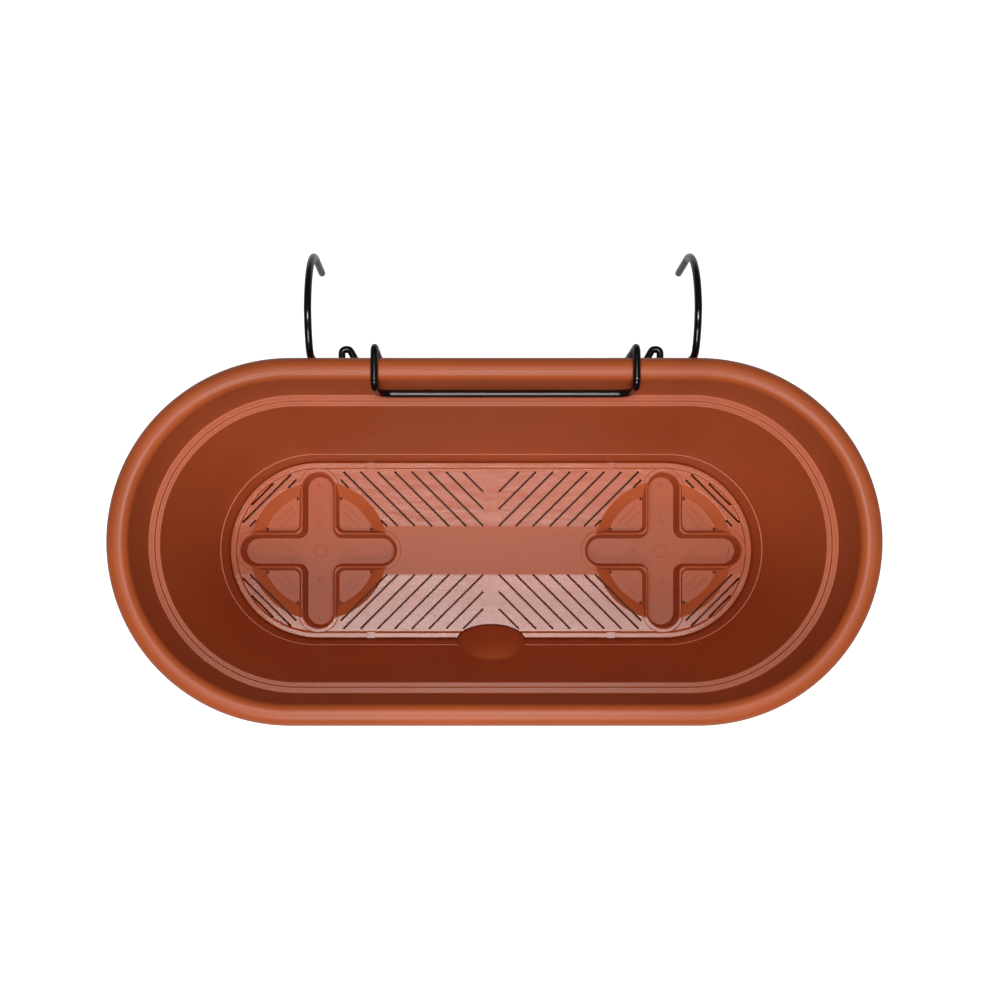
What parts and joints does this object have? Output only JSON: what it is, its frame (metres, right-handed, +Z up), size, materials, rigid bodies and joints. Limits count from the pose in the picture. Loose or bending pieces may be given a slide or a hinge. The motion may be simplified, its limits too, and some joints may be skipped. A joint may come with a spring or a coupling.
{
  "type": "self watering planter",
  "caption": "Long planter with round ends, a slotted false bottom over a water reservoir and a bent wire hanger that hooks it to a railing.",
  "frame": {"origin": "middle of the flat underside of the pot", "axes": "+X along the pot, +Y to the back, where the hanger hooks over the railing, +Z up"},
  "size_m": [0.6, 0.3763, 0.224],
  "materials": {
    "pot_plastic": "satin terracotta, moulded",
    "grid_plastic": "glossy terracotta, moulded",
    "black_wire": "gloss black coating on steel wire"
  },
  "bodies": {
    "pot": {"pot_floor": "pot_plastic", "pot_front_side": "pot_plastic", "pot_back_side": "pot_plastic", "pot_left_end": "pot_plastic", "pot_right_end": "pot_plastic"},
    "grid": {"water_grid": "grid_plastic", "left_well": "grid_plastic", "right_well": "grid_plastic"},
    "hanger": {"rail_hanger": "black_wire"}
  },
  "joints": [
    {"name": "grid_lift", "type": "slide", "parent": "pot", "child": "grid", "axis": [0, 0, 1], "range_m": [0, 0.23]},
    {"name": "hanger_lift", "type": "slide", "parent": "pot", "child": "hanger", "axis": [0, 0, 1], "range_m": [0, 0.11]}
  ]
}
